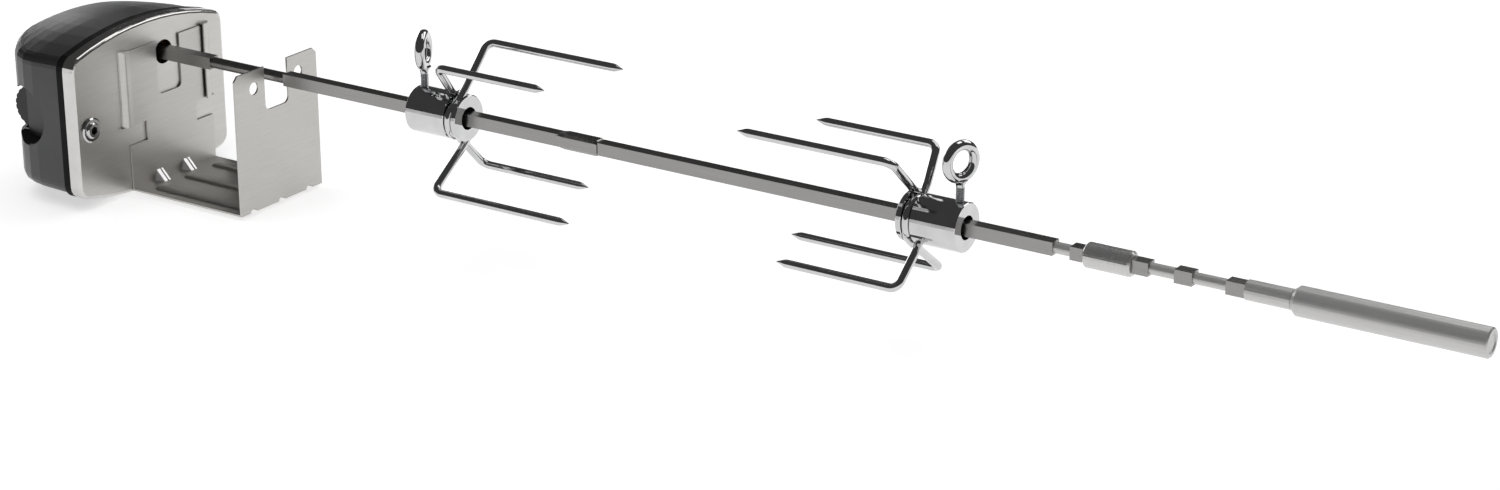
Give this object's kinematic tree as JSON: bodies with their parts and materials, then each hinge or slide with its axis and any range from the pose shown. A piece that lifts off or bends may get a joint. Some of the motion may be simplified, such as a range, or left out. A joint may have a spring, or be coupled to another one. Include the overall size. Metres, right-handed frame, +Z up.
{
  "type": "rotisserie spit roaster",
  "caption": "Geared motor hooked onto a folded wall bracket, turning a two-piece square spit with clamped four-tine forks and a round handle.",
  "frame": {"origin": "outer face of the bracket's front plate, straight below the spit's axis and 60 mm down from it", "axes": "+X along the spit towards its handle, +Z up, +Y across"},
  "size_m": [1.2026, 0.1714, 0.1685],
  "materials": {
    "bracket_steel": "brushed sheet steel",
    "faceplate_steel": "brushed sheet steel",
    "rim": "black",
    "cover": "dark grey, satin",
    "chrome": "bright plated",
    "wheel": "black, fluted",
    "switch": "black",
    "gland": "black",
    "gear_steel": "machined",
    "bronze": "sintered bronze",
    "core_steel": "stacked laminations",
    "coil": "varnished copper wire",
    "rod_steel": "drawn bar, lightly brushed",
    "handle_steel": "satin turned bar",
    "bushing_steel": "polished turned bar",
    "zinc": "zinc plated"
  },
  "bodies": {
    "bracket": {"wall_bracket": "bracket_steel"},
    "motor": {"faceplate": "faceplate_steel", "housing_rim": "rim", "rear_cover": "cover", "faceplate_bolt": "bushing_steel", "switch_body": "switch", "cord_gland": "gland", "output_bushing": "bronze", "second_gear_pin": "zinc", "first_gear_pin": "zinc", "gearbox_front_plate": "zinc", "gearbox_back_plate": "zinc", "stator_core": "core_steel", "stator_coil": "coil", "rotor_bridge": "zinc", "cover_post_1": "zinc", "cover_post_2": "zinc", "cover_post_3": "zinc", "cover_screw_1": "zinc", "cover_screw_2": "zinc", "cover_screw_3": "zinc", "gearbox_post_1": "zinc", "gearbox_post_2": "zinc", "gearbox_post_3": "zinc", "gearbox_post_4": "zinc", "core_spacer_1": "zinc", "core_spacer_2": "zinc"},
    "drive": {"drive_gear": "gear_steel"},
    "second": {"second_gear": "gear_steel"},
    "first": {"first_gear": "gear_steel"},
    "rotor": {"rotor": "core_steel"},
    "switch": {"switch_wheel": "wheel"},
    "spit": {"rod_drive_half": "rod_steel", "rod_handle_half": "rod_steel", "handle": "handle_steel"},
    "bushing": {"rod_bushing": "bushing_steel"},
    "fork_1": {"fork_1_collar": "chrome", "fork_1_wire_a": "chrome", "fork_1_wire_b": "chrome"},
    "fork_2": {"fork_2_collar": "chrome", "fork_2_wire_a": "chrome", "fork_2_wire_b": "chrome"},
    "screw_1": {"eyebolt_1": "chrome"},
    "screw_2": {"eyebolt_2": "chrome"}
  },
  "joints": [
    {"name": "motor_lift", "type": "slide", "parent": "bracket", "child": "motor", "axis": [0, 0, 1], "range_m": [0, 0.06]},
    {"name": "drive_turn", "type": "hinge", "parent": "motor", "child": "drive", "pos_m": [-0.13, 0, 0.06], "axis": [1, 0, 0], "continuous": true},
    {"name": "second_gear_turn", "type": "hinge", "parent": "motor", "child": "second", "pos_m": [-0.131, -0.024, 0.042], "axis": [1, 0, 0], "continuous": true},
    {"name": "first_gear_turn", "type": "hinge", "parent": "motor", "child": "first", "pos_m": [-0.131, -0.0384, 0.0228], "axis": [1, 0, 0], "continuous": true},
    {"name": "rotor_turn", "type": "hinge", "parent": "motor", "child": "rotor", "pos_m": [-0.164, -0.0504, 0.0138], "axis": [1, 0, 0], "continuous": true},
    {"name": "switch_turn", "type": "hinge", "parent": "motor", "child": "switch", "pos_m": [-0.1836, -0.0754, 0.023], "axis": [0, 1, 0], "range_deg": [0, 60]},
    {"name": "spit_slide", "type": "slide", "parent": "drive", "child": "spit", "axis": [1, 0, 0], "range_m": [0, 0.17]},
    {"name": "bushing_turn", "type": "hinge", "parent": "spit", "child": "bushing", "pos_m": [0.727, 0, 0.06], "axis": [1, 0, 0], "continuous": true},
    {"name": "fork_1_slide", "type": "slide", "parent": "spit", "child": "fork_1", "axis": [1, 0, 0], "range_m": [-0.1, 0.06]},
    {"name": "fork_2_slide", "type": "slide", "parent": "spit", "child": "fork_2", "axis": [1, 0, 0], "range_m": [-0.06, 0.06]},
    {"name": "eyebolt_1_turn", "type": "hinge", "parent": "fork_1", "child": "screw_1", "pos_m": [0.1502, 0, 0.08], "axis": [0, 0, 1], "continuous": true},
    {"name": "eyebolt_2_turn", "type": "hinge", "parent": "fork_2", "child": "screw_2", "pos_m": [0.6119, 0, 0.08], "axis": [0, 0, 1], "continuous": true}
  ],
  "couplings": [
    {"joint": "second_gear_turn", "follows": "drive_turn", "ratio": -4},
    {"joint": "first_gear_turn", "follows": "drive_turn", "ratio": 16},
    {"joint": "rotor_turn", "follows": "drive_turn", "ratio": -64}
  ]
}
